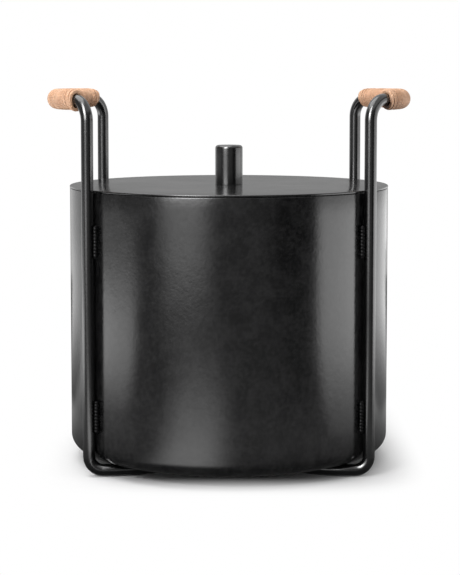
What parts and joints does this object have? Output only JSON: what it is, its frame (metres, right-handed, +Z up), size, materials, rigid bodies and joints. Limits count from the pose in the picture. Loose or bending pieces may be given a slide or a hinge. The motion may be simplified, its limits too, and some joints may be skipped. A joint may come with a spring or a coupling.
{
  "type": "log bucket",
  "caption": "Round black steel log bucket with a loose flat lid and knob, held by two bent round rods that form leather-wound handles, uprights and curved feet.",
  "frame": {"origin": "on the floor, at the centre of the bucket's axis, which is the bottom centre of the bounding box", "axes": "+Z up, +X towards the right-hand handle seen from the front, -Y to the front"},
  "size_m": [0.375, 0.3304, 0.3839],
  "materials": {
    "shell_black": "gloss black lacquer on sheet steel",
    "rod_black": "gloss black lacquer on round bar",
    "weld_black": "lacquered weld bead",
    "lace_tan": "natural vegetable-tanned lace, matt",
    "liner_tan": "rough split leather",
    "screw_steel": "zinc plated"
  },
  "bodies": {
    "bucket": {"bucket_shell": "shell_black", "left_frame_rod": "rod_black", "left_grip_liner": "liner_tan", "left_grip_lace": "lace_tan", "right_frame_rod": "rod_black", "right_grip_liner": "liner_tan", "right_grip_lace": "lace_tan", "weld_front_left_lower": "weld_black", "weld_front_left_upper": "weld_black", "weld_front_right_lower": "weld_black", "weld_front_right_upper": "weld_black", "weld_rear_left_lower": "weld_black", "weld_rear_left_upper": "weld_black", "weld_rear_right_lower": "weld_black", "weld_rear_right_upper": "weld_black"},
    "lid": {"lid_plate": "shell_black", "lid_locating_hoop": "shell_black", "lid_knob": "rod_black", "knob_washer": "screw_steel", "knob_screw": "screw_steel"}
  },
  "joints": [
    {"name": "lid_lift", "type": "slide", "parent": "bucket", "child": "lid", "axis": [0, 0, 1], "range_m": [0, 0.15]}
  ]
}
